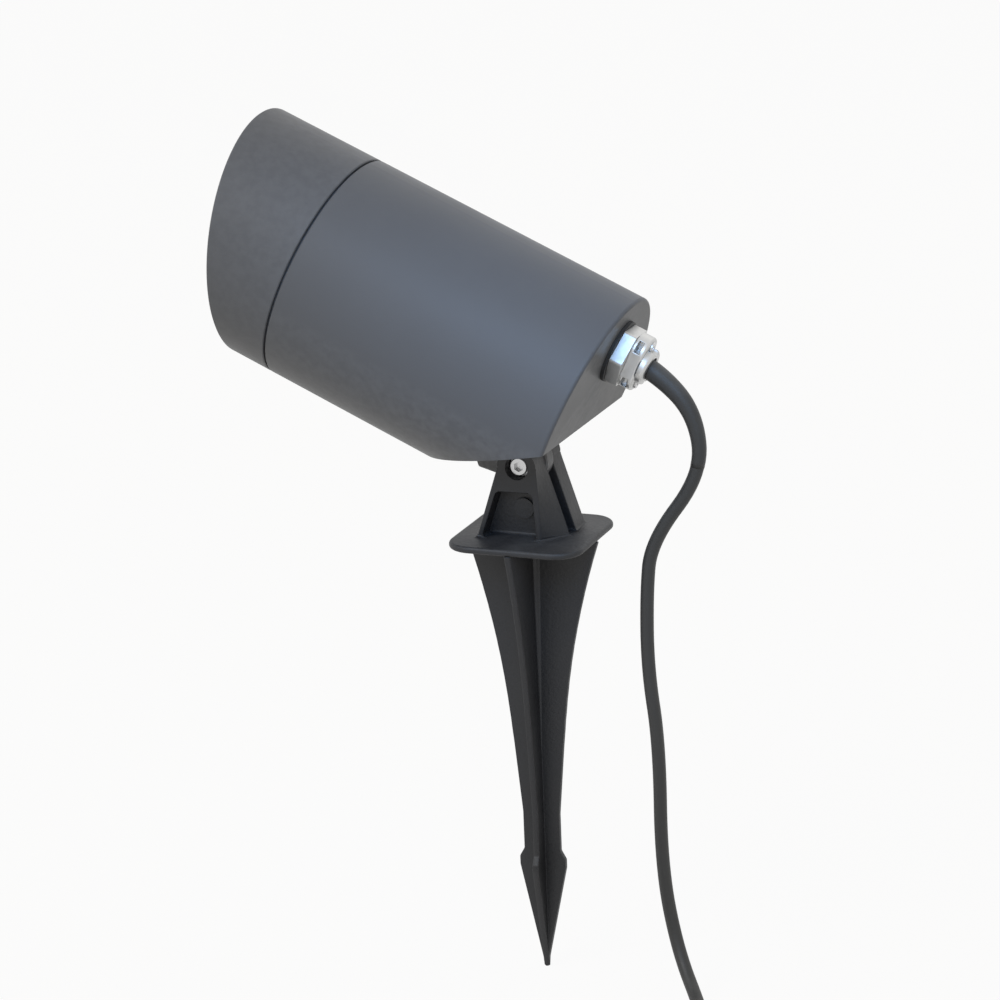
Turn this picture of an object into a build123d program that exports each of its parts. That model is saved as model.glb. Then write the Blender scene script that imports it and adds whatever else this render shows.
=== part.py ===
from build123d import *
from math import cos, hypot, pi, radians, sin, tan
import os

# Garden spike spotlight, in millimetres.  The origin is on the spike's axis,
# on the underside of the flange; +Z is up and the light aims towards -X.

# ---- head ----------------------------------------------------------------
HEAD_TILT = 24.9          # upward aim of the head, degrees
HEAD_R = 52.0             # outer radius of housing and hood
REAR_X, REAR_Z = 29.9, 60.8   # centre of the housing's rear face
REAR_EDGE_R = 1.5
JOINT_S = 133.5           # rear face to the seam with the hood
GROOVE = 1.0              # dark seam between housing and hood
HOOD_LENGTH = 36.2        # seam to the middle of the slanted mouth
MOUTH_SLOPE = 0.315       # mouth's lean, forward per height
FLAT_H = -9.3             # where the slanted flat starts on the rear face
FLAT_ANGLE = 35.7         # flat against the head's axis, degrees
WALL = 4.0
HOOD_WALL = 2.8
SPIGOT_STEP = 2.0         # step from the housing's outside to its spigot
SPIGOT_LENGTH = 7.0
GROOVE_STEP = 2.0         # seam to the gasket's groove
GASKET_W, GASKET_T = 1.8, 0.8
EDGE_BREAK = 0.4          # chamfer of the seam's and the glass's edges
LIP_BREAK = 0.5
FIT = 0.1                 # clearance of a located fit, on the radius
SEAT = 0.3                # gap between faces of different bodies
RAISE = 1.0               # how far a cutter stands past the face that it cuts

GLASS_T = 4.0
SHOULDER_T = 2.4          # hood's inner rib in front of the glass
SHOULDER_W = 6.0          # from the hood's outside to the rib's opening
BAFFLES = 3
BAFFLE_START, BAFFLE_PITCH, BAFFLE_W, BAFFLE_DEPTH = 1.2, 2.4, 1.2, 0.8
LOCK_AFTER = 5.4          # seam to the hood's lock screw
LOCK_R = 1.3

# ---- inside the head -----------------------------------------------------
SPREADER_BACK = 96.0      # rear face to the heat spreader
SPREADER_T = 6.0
POST_R = 5.0
POST_LENGTH = 22.0
POST_CONE = 8.0
POST_INSET = 4.0          # post's axis inside the housing's bore
POST_ANGLES = (60, 180, 300)
POST_SCREW_R, POST_SCREW_L = 1.45, 16.0
FIN_SLOTS = 12
FIN_SLOT_W, FIN_SLOT_DEPTH = 2.4, 3.0
FIN_SLOT_IN, FIN_SLOT_OUT = 30.0, 42.0
BOARD_HALF, BOARD_T = 12.0, 1.5
PAD_AT, PAD_L, PAD_W, PAD_T = 10.0, 3.0, 2.0, 0.3
EMITTER_R, EMITTER_T = 9.5, 1.0
HOLDER_R, HOLDER_T = 23.0, 4.0
HOLDER_WINDOW_R = 10.4
HOLDER_SCREW_Y = 18.0
HOLDER_SCREW_SEAT = 2.0
SMALL_SCREW_R = 1.15
WIRE_HOLE_X, WIRE_HOLE_Y, WIRE_HOLE_R = 16.0, 10.0, 2.0
BOWL_BACK = 4.0           # spreader to the reflector's narrow end
BOWL_LAMP_R = 11.5
BOWL_RIM_W = 4.3
BOWL_T = 1.2
PLATE_H = -9.5            # driver's carrier plate against the head's axis
PLATE_T = 1.5
PLATE_HALF_W = 20.0
PLATE_START = 12.0
PLATE_FOOT = 14.0
PLATE_SCREW_H, PLATE_SCREW_Y = 8.0, 10.0
PLATE_WINDOW_HALF, PLATE_WINDOW_S = 8.0, (30.0, 70.0)
DRIVER_H, DRIVER_HALF_W = 21.0, 17.0
DRIVER_S = (15.0, 88.0)
DRIVER_SLOT_DEPTH, DRIVER_SLOT_H = 1.0, 3.0
TERMINAL_H, TERMINAL_HALF_W = 12.0, 12.0
TERMINAL_S = (24.0, 38.0)
TERMINAL_PITCH = 8.0
TERMINAL_BORE_R, TERMINAL_SCREW_R = 2.2, 1.8

# ---- tilt lug and pivot --------------------------------------------------
PIVOT_Z = 35.5            # tilt axis above the flange's underside
PIVOT_BORE_R = 2.55
PIVOT_SCREW_R = 2.5
PIVOT_HEAD_R, PIVOT_HEAD_H = 3.9, 3.6
PIVOT_RECESS = 7.2        # counterbore for the screw's head
PIVOT_RECESS_R = 5.3
PIVOT_WASHER_R, PIVOT_WASHER_T = 5.0, 1.0
PIVOT_NUT_AF, PIVOT_NUT_T = 8.0, 4.2
PIVOT_NUT_SINK = 0.4
PIVOT_EYE_R = 10.0        # lug's eye
LUG_TOE = (-9.0, 24.0)    # lug's foot along the flat
LUG_TOE_TIP = (22.5, 11.5)
LUG_SCREWS = (9.5, 20.0)
LUG_SCREW_R, LUG_SCREW_L = 1.9, 11.0

# ---- ground spike --------------------------------------------------------
EAR_EYE_R = 9.0           # ear's rounded top
EAR_INNER_Y = 4.0
EAR_OUTER_Y = 15.5
EAR_FOOT_X = 20.0         # half width of an ear where it meets the flange
EAR_SLIM_X = 10.5         # its chamfered edge on the outer face
EAR_WEB = 3.0             # floor left behind the ear's pocket
POCKET_TOP_Z = 24.4
POCKET_FOOT_X = (-17.4, 8.0)
POCKET_TOP_X = (-10.0, 6.7)
BOSS_Z, BOSS_R, BOSS_T = 15.4, 4.6, 1.2
FLANGE_HALF = 30.8
FLANGE_T = 3.0
FLANGE_CORNER_R = 12.5
BLADE_T = 2.8
SPIKE_LENGTH = 205.5
# blade's half width against depth under the flange
BLADE_TOP = 31.0
BLADE_OUTLINE = ((23.6, 25.0), (16.2, 60.0), (11.4, 100.0))
NECK_X, NECK_Z, NECK_LENGTH = 8.7, 130.0, 18.0
BARB_X, BARB_Z = 11.0, 154.0
CORE_TOP_R, CORE_END_R, CORE_LENGTH = 4.0, 1.6, 120.0

# ---- cable gland ---------------------------------------------------------
GLAND_INSET = 23.6        # gland's axis under the head's top
GLAND_AF = 24.0           # its hexagon across the flats
GLAND_THREAD_R = 9.9
GLAND_THREAD_L = 13.0
GLAND_WASHER_R, GLAND_WASHER_T = 14.2, 1.6
GLAND_HEX_T = 6.0
LOCKNUT_T = 5.0
SEAL_R, SEAL_BORE_R, SEAL_L = 7.6, 2.3, 8.0
CAP_T = 6.0
CAP_LENGTH, CAP_WIDTH = 30.0, 17.5
CAP_DOME_T, CAP_DOME_R = 3.4, 9.6
CAP_BORE_R = 5.7
CLAMP_SCREW_H = 10.2      # clamp screws from the gland's axis
CLAMP_SCREW_R, CLAMP_SCREW_L = 1.5, 4.9
CLAMP_SINK = 1.0

# ---- cord, coil, tie and plug --------------------------------------------
CORD_R = 3.0
BOOT_R, BOOT_TIP_R = 4.6, 3.5
BOOT_START = 1.6
BOOT_LENGTH = 58.0
COIL_IN_R = 25.0          # innermost turn
COIL_PITCH = 8.0          # from one turn to the next
COIL_LAYER = 6.5          # from one layer to the next
COIL_HALVES = (5, 4)      # half turns of the upper and the lower layer
TAIL_R, TAIL_TURN = 47.0, 97.0    # bend that leads the end away from the coil
TAIL_LENGTH = 12.0        # straight cord from that bend to the plug
TIE_T, TIE_WIDTH, TIE_CORNER_R = 1.2, 4.8, 3.4
PLUG_RELIEF = 30.0
PLUG_RELIEF_R, PLUG_RELIEF_SINK = 6.2, 2.0
PLUG_MIDDLE_Z = 9.0       # plug's middle above the ground
PLUG_BACK = (18.0, 14.0)
PLUG_SHOULDER = (33.0, 17.6)
PLUG_FACE = (36.0, 18.0)
PLUG_SHOULDER_AT, PLUG_LENGTH = 14.0, 34.0
PIN_R, PIN_L, PIN_TIP_R, PIN_HALF_PITCH = 2.4, 19.0, 1.2, 9.5

# The cord's route after its first corner, chosen by hand: (x, y, z).
ROUTE = [
    (76.6, 0.0, 61.1), (79.4, 0.0, 34.5), (55.3, 0.0, 2.1), (52.9, -0.5, -21.1),
    (52.8, -1.5, -55.9), (57.9, -3.0, -90.4), (57.9, -4.5, -147.5), (65.2, -6.5, -186.1),
    (83.7, -29.4, -204.2), (92.5, -54.0, -198.3), (91.0, -79.0, -194.8), (87.5, -104.0, -194.8),
]
FIRST_RUN = 12.5          # straight out of the gland

# ---- places derived from the sizes ---------------------------------------
HEAD = Plane(
    origin=(REAR_X, 0, REAR_Z),
    x_dir=(sin(radians(HEAD_TILT)), 0, cos(radians(HEAD_TILT))),
    z_dir=(-cos(radians(HEAD_TILT)), 0, sin(radians(HEAD_TILT))),
)
GROUND_Z = -SPIKE_LENGTH
FAR = 4 * HEAD_R          # longer than any piece that a cutter meets

MOUTH_S = JOINT_S + HOOD_LENGTH
SPIGOT_R = HEAD_R - SPIGOT_STEP
SPIGOT_S = JOINT_S + SPIGOT_LENGTH
BORE_R = HEAD_R - WALL
GASKET_S = JOINT_S + GROOVE_STEP
GLASS_R = SPIGOT_R - 2 * FIT
GLASS_S = (SPIGOT_S + 1.5, SPIGOT_S + 1.5 + GLASS_T)
SHOULDER_S = GLASS_S[1] + SHOULDER_T
LOCK_S = JOINT_S + LOCK_AFTER

SPREADER_FRONT = SPREADER_BACK + SPREADER_T
SPREADER_R = BORE_R - SEAT
POST_AT = BORE_R - POST_INSET
POST_S = SPREADER_BACK - POST_LENGTH
PLATE_TOP = PLATE_H + PLATE_T
PLATE_SCREW_AT = PLATE_H - PLATE_SCREW_H
DRIVER_TOP = PLATE_TOP + DRIVER_H

# The slanted flat in the head's frame; its X runs forwards, its Z outwards.
SLANT = radians(FLAT_ANGLE)
FLAT_NORMAL = Vector(-cos(SLANT), 0, -sin(SLANT))
PIVOT_LOCAL = HEAD.to_local_coords(Vector(0, 0, PIVOT_Z))
PIVOT_CLEAR = (PIVOT_LOCAL - Vector(FLAT_H, 0, 0)).dot(FLAT_NORMAL)
FLAT_PLANE = Plane(
    origin=PIVOT_LOCAL - FLAT_NORMAL * PIVOT_CLEAR, x_dir=(-sin(SLANT), 0, cos(SLANT)), z_dir=FLAT_NORMAL,
)
LUG_T = 2 * (EAR_INNER_Y - SEAT)
RECESS_Y = -EAR_OUTER_Y + PIVOT_RECESS
NUT_Y = EAR_OUTER_Y - PIVOT_NUT_T - PIVOT_NUT_SINK

GLAND_H = HEAD_R - GLAND_INSET
GLAND_BACK = -GLAND_WASHER_T
HEX_S = GLAND_BACK - GLAND_HEX_T
CAP_S = HEX_S - CAP_T
DOME_S = CAP_S - CAP_DOME_T

os.makedirs("parts", exist_ok=True)
NODES = {}


def keep(name, shape, on_head=False):
    """Store one node; head pieces are drawn along the head's own axis."""
    NODES[name] = HEAD.location * shape if on_head else shape


def rod(radius, start, end, x=0.0, y=0.0):
    return Pos(x, y, start) * Cylinder(radius, end - start, align=(Align.CENTER, Align.CENTER, Align.MIN))


def ring(outer, inner, start, end, x=0.0, y=0.0):
    return rod(outer, start, end, x, y) - rod(inner, start - RAISE, end + RAISE, x, y)


def hexagon(across, start, end, x=0.0, y=0.0):
    outline = RegularPolygon(across / 2, 6, major_radius=False, rotation=30)
    return Pos(x, y, start) * extrude(outline, end - start)


def block(x0, x1, y0, y1, z0, z1):
    return Pos((x0 + x1) / 2, (y0 + y1) / 2, (z0 + z1) / 2) * Box(x1 - x0, y1 - y0, z1 - z0)


def outside_of(plane):
    """Half space on the far side of a plane, as large as the part needs."""
    return plane.location * Box(2 * FAR, FAR, FAR, align=(Align.CENTER, Align.CENTER, Align.MIN))


def cap_screw(radius, length, head_r, head_h, socket):
    """Cap screw with its head's underside on z = 0, shank downwards."""
    body = rod(radius, -length, 0) + rod(head_r, 0, head_h)
    body = chamfer(body.edges().group_by(Axis.Z)[-1], head_h / 12)
    return body - Pos(0, 0, head_h * 0.45) * hexagon(socket, 0, head_h)


# ---- head: housing -------------------------------------------------------
def below_flat(inset):
    """Everything past the slanted flat, moved inwards by the inset."""
    return outside_of(FLAT_PLANE.offset(-inset))


def lock_pin(radius, inner, outer):
    """Pin across the seam's underside, from the outside towards the axis."""
    return rod(radius, inner, outer).rotate(Axis.Y, -90).moved(Location((0, 0, LOCK_S)))


def spreader_post():
    post = rod(POST_R, POST_S, SPREADER_BACK, POST_AT)
    foot = Cone(POST_SCREW_R, POST_R, POST_CONE, align=(Align.CENTER, Align.CENTER, Align.MIN))
    post = post + Pos(POST_AT, 0, POST_S - POST_CONE) * foot
    post = post - rod(POST_SCREW_R + FIT / 2, POST_S + POST_R, SPREADER_BACK + RAISE, POST_AT)
    return post & rod(BORE_R + RAISE, POST_S - POST_CONE, SPREADER_BACK + RAISE)


def housing():
    shell = rod(HEAD_R, 0, JOINT_S)
    shell = fillet(shell.edges().group_by(Axis.Z)[0], REAR_EDGE_R)
    shell = chamfer(shell.edges().group_by(Axis.Z)[-1], EDGE_BREAK)
    shell = shell + rod(SPIGOT_R, JOINT_S, SPIGOT_S)
    shell = shell - below_flat(0)
    shell = shell - (rod(BORE_R, WALL, SPIGOT_S + RAISE) - below_flat(WALL))
    shell = shell - ring(SPIGOT_R + RAISE, SPIGOT_R - GASKET_T, GASKET_S, GASKET_S + GASKET_W + 2 * FIT)
    for angle in POST_ANGLES:
        shell = shell + Rot(0, 0, angle) * spreader_post()
    shell = shell - rod(GLAND_THREAD_R + FIT, -RAISE, WALL + RAISE, GLAND_H)
    for point in LUG_SCREWS:
        shell = shell - FLAT_PLANE.location * Pos(point, 0, 0) * Cylinder(LUG_SCREW_R + 2 * FIT, 10 * WALL)
    return shell - lock_pin(LOCK_R + FIT / 2, 0, HEAD_R + RAISE)


def tilt_lug():
    """Plate under the flat: eye round the pivot, toe running forwards."""
    eye = Pos(0, PIVOT_CLEAR) * Circle(PIVOT_EYE_R)
    toe = Polyline((LUG_TOE[0], 0), (LUG_TOE[1], 0), LUG_TOE_TIP)
    outline = make_hull(eye.edges() + toe.edges())
    side = Plane(origin=FLAT_PLANE.origin, x_dir=FLAT_PLANE.x_dir, z_dir=(0, -1, 0))
    if side.y_dir.dot(FLAT_PLANE.z_dir) < 0:
        side = Plane(origin=FLAT_PLANE.origin, x_dir=FLAT_PLANE.x_dir, z_dir=(0, 1, 0))
    lug = extrude(side.location * outline, LUG_T / 2, both=True)
    lug = chamfer(lug.faces().sort_by(Axis.Y)[0].outer_wire().edges().filter_by(GeomType.CIRCLE), LUG_T / 12)
    lug = lug - Pos(PIVOT_LOCAL.X, 0, PIVOT_LOCAL.Z) * Rot(90, 0, 0) * Cylinder(PIVOT_BORE_R, 4 * LUG_T)
    for point in LUG_SCREWS:
        hole = Cylinder(LUG_SCREW_R + FIT / 2, LUG_SCREW_L)
        lug = lug - FLAT_PLANE.location * Pos(point, 0, LUG_SCREW_L / 2 - RAISE) * hole
    return lug


def lug_screw(point):
    screw = cap_screw(LUG_SCREW_R, LUG_SCREW_L, 3.5, 3.6, 3.0)
    return FLAT_PLANE.location * Pos(point, 0, -WALL) * Rot(180, 0, 0) * screw


# ---- head: hood and optics -----------------------------------------------
def front_hood():
    hood_bore = HEAD_R - HOOD_WALL
    hood = rod(HEAD_R, JOINT_S + GROOVE, MOUTH_S + HEAD_R)
    hood = chamfer(hood.edges().group_by(Axis.Z)[0], EDGE_BREAK)
    hood = hood - rod(SPIGOT_R + FIT, JOINT_S - RAISE, GLASS_S[1])
    hood = hood - rod(HEAD_R - SHOULDER_W, GLASS_S[0], SHOULDER_S + RAISE)
    hood = hood - rod(hood_bore, SHOULDER_S, MOUTH_S + HEAD_R + RAISE)
    for step in range(BAFFLES):
        start = SHOULDER_S + BAFFLE_START + BAFFLE_PITCH * step
        hood = hood - ring(hood_bore + BAFFLE_DEPTH, hood_bore - RAISE, start, start + BAFFLE_W)
    hood = hood - outside_of(Plane(origin=(0, 0, MOUTH_S), z_dir=(-MOUTH_SLOPE, 0, 1)))
    rim = hood.edges().filter_by(GeomType.ELLIPSE).sort_by(SortBy.LENGTH)[-1]
    hood = chamfer(rim, LIP_BREAK)
    return hood - lock_pin(LOCK_R + FIT / 2, 0, HEAD_R + RAISE)


def reflector():
    """Parabolic bowl from the lamp's rim to the glass, with a front flange."""
    start, end = SPREADER_FRONT + BOWL_BACK, SPIGOT_S - BOWL_T
    mouth_r = BORE_R - 2 * FIT - BOWL_RIM_W
    belly = (BOWL_LAMP_R + 0.58 * (mouth_r - BOWL_LAMP_R), start + 0.39 * (end - start))
    bowl = Spline((BOWL_LAMP_R, start), belly, (mouth_r, end), tangents=((1, 0.25), (0.25, 1)))
    outer = Pos(BOWL_T, 0) * bowl
    skin = make_face([bowl, outer, Line(bowl @ 0, outer @ 0), Line(bowl @ 1, outer @ 1)])
    return revolve(Plane.XZ * skin, Axis.Z) + ring(BORE_R - 2 * FIT, mouth_r, end, SPIGOT_S)


def led_board():
    base, top = SPREADER_FRONT, SPREADER_FRONT + BOARD_T
    board = block(-BOARD_HALF, BOARD_HALF, -BOARD_HALF, BOARD_HALF, base, top)
    for side in (-PAD_AT, PAD_AT):
        pad = Pos(side, side, top) * Box(PAD_L, PAD_W, 2 * PAD_T)
        board = board + pad
    return board


def led_holder():
    base = SPREADER_FRONT
    pocket = BOARD_HALF + 2 * FIT
    holder = rod(HOLDER_R, base, base + HOLDER_T)
    holder = chamfer(holder.edges().group_by(Axis.Z)[-1], HOLDER_T / 4)
    holder = holder - block(-pocket, pocket, -pocket, pocket, base - RAISE, base + BOARD_T + PAD_T + FIT)
    holder = holder - rod(HOLDER_WINDOW_R, base, base + HOLDER_T + RAISE)
    for side in (-HOLDER_SCREW_Y, HOLDER_SCREW_Y):
        holder = holder - rod(SMALL_SCREW_R * 1.5, base - RAISE, base + HOLDER_T + RAISE, 0, side)
        holder = holder - rod(SMALL_SCREW_R * 2.5, base + HOLDER_SCREW_SEAT, base + HOLDER_T + RAISE, 0, side)
    return holder


def heat_spreader():
    disc = rod(SPREADER_R, SPREADER_BACK, SPREADER_FRONT)
    below, above, middle = SPREADER_BACK - RAISE, SPREADER_FRONT + RAISE, SPREADER_BACK + SPREADER_T / 2
    for angle in POST_ANGLES:
        disc = disc - Rot(0, 0, angle) * rod(POST_SCREW_R + 2 * FIT, below, above, POST_AT)
    for side in (-1, 1):
        disc = disc - rod(SMALL_SCREW_R + FIT / 2, middle - RAISE, above, 0, HOLDER_SCREW_Y * side)
        disc = disc - rod(WIRE_HOLE_R, below, above, WIRE_HOLE_X, WIRE_HOLE_Y * side)
        disc = disc - rod(SMALL_SCREW_R + FIT / 2, below, middle, PLATE_SCREW_AT, PLATE_SCREW_Y * side)
    half = FIN_SLOT_W / 2
    slot = block(FIN_SLOT_IN, FIN_SLOT_OUT, -half, half, below, SPREADER_BACK + FIN_SLOT_DEPTH)
    for index in range(FIN_SLOTS):
        disc = disc - Rot(0, 0, (index + 0.5) * 360 / FIN_SLOTS) * slot
    return disc


def driver_bracket():
    bracket = block(PLATE_H, PLATE_TOP, -PLATE_HALF_W, PLATE_HALF_W, PLATE_START, SPREADER_BACK)
    foot_low, foot_start = PLATE_H - PLATE_FOOT, SPREADER_BACK - PLATE_T
    bracket = bracket + block(foot_low, PLATE_TOP, -PLATE_HALF_W, PLATE_HALF_W, foot_start, SPREADER_BACK)
    half = PLATE_WINDOW_HALF
    bracket = bracket - block(PLATE_H - RAISE, PLATE_TOP + RAISE, -half, half, *PLATE_WINDOW_S)
    for side in (-PLATE_SCREW_Y, PLATE_SCREW_Y):
        hole = rod(SMALL_SCREW_R * 1.4, foot_start - RAISE, SPREADER_BACK + RAISE, PLATE_SCREW_AT, side)
        bracket = bracket - hole
    return bracket


def led_driver():
    box = block(PLATE_TOP, DRIVER_TOP, -DRIVER_HALF_W, DRIVER_HALF_W, *DRIVER_S)
    box = fillet(box.edges().filter_by(Axis.Z), DRIVER_SLOT_H * 2 / 3)
    low = PLATE_TOP + DRIVER_SLOT_H
    for side in (-DRIVER_HALF_W, DRIVER_HALF_W):
        inner, outer = side - DRIVER_SLOT_DEPTH, side + DRIVER_SLOT_DEPTH
        box = box - block(low, low + DRIVER_SLOT_H, inner, outer, DRIVER_S[0] - RAISE, DRIVER_S[1] + RAISE)
    return box


def terminal_block():
    top = DRIVER_TOP + TERMINAL_H
    start, end = TERMINAL_S
    body = block(DRIVER_TOP, top, -TERMINAL_HALF_W, TERMINAL_HALF_W, start, end)
    for port in (-TERMINAL_PITCH, 0, TERMINAL_PITCH):
        body = body - rod(TERMINAL_BORE_R, start - RAISE, end + RAISE, DRIVER_TOP + TERMINAL_H / 3, port)
        well = Cylinder(TERMINAL_SCREW_R, TERMINAL_H * 2 / 3)
        body = body - Pos(top, port, (start + end) / 2) * Rot(0, 90, 0) * well
    return body


# ---- head: cable gland ---------------------------------------------------
def gland_body():
    body = hexagon(GLAND_AF, HEX_S, GLAND_BACK, GLAND_H)
    body = body & (Pos(GLAND_H, 0, 0) * rod(GLAND_AF * 0.566, HEX_S, GLAND_BACK))
    body = body + rod(GLAND_THREAD_R, GLAND_BACK, GLAND_THREAD_L, GLAND_H)
    return body - rod(SEAL_R, HEX_S - RAISE, GLAND_THREAD_L + RAISE, GLAND_H)


def gland_cap():
    """Clamp cap: two lugs along the head's height and a domed collar."""
    plate = Pos(GLAND_H, 0, CAP_S) * extrude(SlotOverall(CAP_LENGTH, CAP_WIDTH), CAP_T)
    plate = chamfer(plate.edges().group_by(Axis.Z)[0], CAP_T / 8)
    dome = rod(CAP_DOME_R, DOME_S, CAP_S, GLAND_H)
    dome = fillet(dome.edges().group_by(Axis.Z)[0], CAP_DOME_T / 2)
    cap = plate + dome
    cap = cap - rod(CAP_BORE_R, DOME_S - RAISE, HEX_S + RAISE, GLAND_H)
    for side in (-1, 1):
        height = GLAND_H + side * CLAMP_SCREW_H
        cap = cap - rod(CLAMP_SCREW_R + FIT, CAP_S, HEX_S + RAISE, height)
        cap = cap - rod(2 * CLAMP_SCREW_R, DOME_S - RAISE, CAP_S + CLAMP_SINK, height)
        half = 2 * CLAMP_SCREW_R - FIT
        start = CAP_S + CAP_T * 0.37
        cap = cap - block(height - half, height + half, -CAP_WIDTH, -half, start, start + CAP_T * 0.4)
    return cap


def clamp_screw(side):
    screw = cap_screw(CLAMP_SCREW_R, CLAMP_SCREW_L, 2.7, 1.9, 2.0)
    return Pos(GLAND_H + side * CLAMP_SCREW_H, 0, CAP_S + CLAMP_SINK) * Rot(180, 0, 0) * screw


# ---- ground spike --------------------------------------------------------
def ear_outline(foot_x):
    low = FLANGE_T - RAISE
    corners = [(-EAR_FOOT_X, low), (foot_x, low), (EAR_EYE_R, PIVOT_Z), (-EAR_EYE_R, PIVOT_Z)]
    return make_face(Polyline(*corners, close=True))


def ear_block():
    """Near ear: one edge slants on both faces, the other only on the inner."""
    inner = Plane(origin=(0, -EAR_INNER_Y, 0), x_dir=(1, 0, 0), z_dir=(0, -1, 0))
    outer = Plane(origin=(0, -EAR_OUTER_Y, 0), x_dir=(1, 0, 0), z_dir=(0, -1, 0))
    ear = loft([inner * ear_outline(EAR_FOOT_X), outer * ear_outline(EAR_SLIM_X)], ruled=True)
    eye = Pos(0, -(EAR_INNER_Y + EAR_OUTER_Y) / 2, PIVOT_Z) * Rot(90, 0, 0)
    ear = ear + eye * Cylinder(EAR_EYE_R, EAR_OUTER_Y - EAR_INNER_Y)
    window = Polyline(
        (POCKET_FOOT_X[0], FLANGE_T), (POCKET_FOOT_X[1], FLANGE_T), (POCKET_TOP_X[1], POCKET_TOP_Z),
        (POCKET_TOP_X[0], POCKET_TOP_Z), close=True,
    )
    pocket = Pos(0, -EAR_INNER_Y - EAR_WEB, 0) * extrude(Plane.XZ * make_face(window), 2 * EAR_OUTER_Y)
    ear = ear - fillet(pocket.edges().filter_by(Axis.Y), EAR_WEB / 2)
    boss = Pos(0, -EAR_INNER_Y - EAR_WEB, BOSS_Z) * Rot(90, 0, 0)
    return ear + boss * Cylinder(BOSS_R, BOSS_T, align=(Align.CENTER, Align.CENTER, Align.MIN))


def blade():
    """One plate of the cross, its outline narrowing to neck, barb and tip."""
    shoulder = [(width, -depth) for width, depth in BLADE_OUTLINE]
    side = Spline((BLADE_TOP, 0), *shoulder, (NECK_X, -NECK_Z))
    barb_edge = BLADE_T * 0.7
    tip = (0, -SPIKE_LENGTH)
    low = Polyline(
        (NECK_X, -NECK_Z), (NECK_X, -NECK_Z - NECK_LENGTH), (BARB_X, -BARB_Z + barb_edge),
        (BARB_X, -BARB_Z - barb_edge), (BLADE_T / 7, -SPIKE_LENGTH), tip,
    )
    half = make_face([side, *low.edges(), Line(tip, (0, 0)), Line((0, 0), (BLADE_TOP, 0))])
    return extrude(Plane.XZ * (half + mirror(half, Plane.YZ)), BLADE_T / 2, both=True)


def spike_bracket():
    flange = extrude(RectangleRounded(2 * FLANGE_HALF, 2 * FLANGE_HALF, FLANGE_CORNER_R), FLANGE_T)
    flange = fillet(flange.edges().group_by(Axis.Z)[-1], FLANGE_T * 0.47)
    flange = fillet(flange.edges().group_by(Axis.Z)[0], FLANGE_T * 0.4)
    ear = ear_block()
    plate = blade()
    core = Cone(CORE_TOP_R, CORE_END_R, CORE_LENGTH, align=(Align.CENTER, Align.CENTER, Align.MIN))
    body = flange + ear + Rot(0, 0, 180) * ear + plate + Rot(0, 0, 90) * plate + core.rotate(Axis.X, 180)
    across = Pos(0, 0, PIVOT_Z) * Rot(90, 0, 0)
    body = body - across * Cylinder(PIVOT_SCREW_R + FIT, 4 * EAR_OUTER_Y)
    body = body - across * rod(PIVOT_RECESS_R, -RECESS_Y, EAR_OUTER_Y + RAISE)
    return body - Pos(0, NUT_Y, PIVOT_Z) * Rot(-90, 0, 0) * hexagon(PIVOT_NUT_AF + 2 * FIT, 0, EAR_OUTER_Y)


def pivot_screw():
    under_head = RECESS_Y - PIVOT_WASHER_T
    length = NUT_Y + PIVOT_NUT_T - under_head
    screw = cap_screw(PIVOT_SCREW_R, length, PIVOT_HEAD_R, PIVOT_HEAD_H, 4.0)
    return Pos(0, under_head, PIVOT_Z) * Rot(90, 0, 0) * screw


# ---- cord ----------------------------------------------------------------
def cord_points():
    axis_out = HEAD.z_dir * -1
    start = HEAD.from_local_coords(Vector(GLAND_H, 0, HEX_S))
    return [start, start + axis_out * FIRST_RUN] + [Vector(*point) for point in ROUTE]


def corner_radii(points):
    """Each arc is as large as its two runs allow."""
    radii = []
    for before, corner, after in zip(points, points[1:], points[2:]):
        run = min((corner - before).length, (after - corner).length)
        turn = radians((corner - before).get_angle(after - corner))
        radii.append(0.45 * run / tan(turn / 2))
    return radii


def biarc(start, start_dir, end, end_dir):
    """Two tangent arcs from start to end."""
    gap = end - start
    a = 2 - 2 * start_dir.dot(end_dir)
    b = 2 * gap.dot(start_dir + end_dir)
    c = -gap.dot(gap)
    reach = (-b + (b * b - 4 * a * c) ** 0.5) / (2 * a)
    first, last = start + start_dir * reach, end - end_dir * reach
    middle = (first + last) / 2
    return [TangentArc(start, middle, tangent=start_dir), TangentArc(middle, end, tangent=(last - first))]


def coil_edges(entry, heading):
    """Upper layer winding in, one half turn down, lower layer winding out, then the tail."""
    here = entry + heading * 2 * CORD_R
    edges = [Line(entry, here)]
    inward = Vector(heading.Y, -heading.X, 0)
    step = COIL_PITCH / 2
    radius = COIL_IN_R + step * COIL_HALVES[0]
    centre = here + inward * radius
    moves = [(-step, 0.0)] * COIL_HALVES[0] + [(0.0, -COIL_LAYER)] + [(step, 0.0)] * COIL_HALVES[1]
    for grow, climb in moves:
        there = here + inward * (2 * radius + grow) + Vector(0, 0, climb)
        edges += biarc(here, heading, there, heading * -1)
        here, heading, inward = there, heading * -1, inward * -1
        radius += grow
    turn = radians(TAIL_TURN)
    bend_end = here + (inward * (1 - cos(turn)) + heading * sin(turn)) * TAIL_R
    edges.append(TangentArc(here, bend_end, tangent=heading))
    heading = heading * cos(turn) + inward * sin(turn)
    end = bend_end + heading * TAIL_LENGTH
    edges.append(Line(bend_end, end))
    return edges, centre, end, heading


def tube(path, radius):
    start = Plane(origin=path @ 0, z_dir=path % 0)
    return sweep(start * Circle(radius), path=path)


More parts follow.
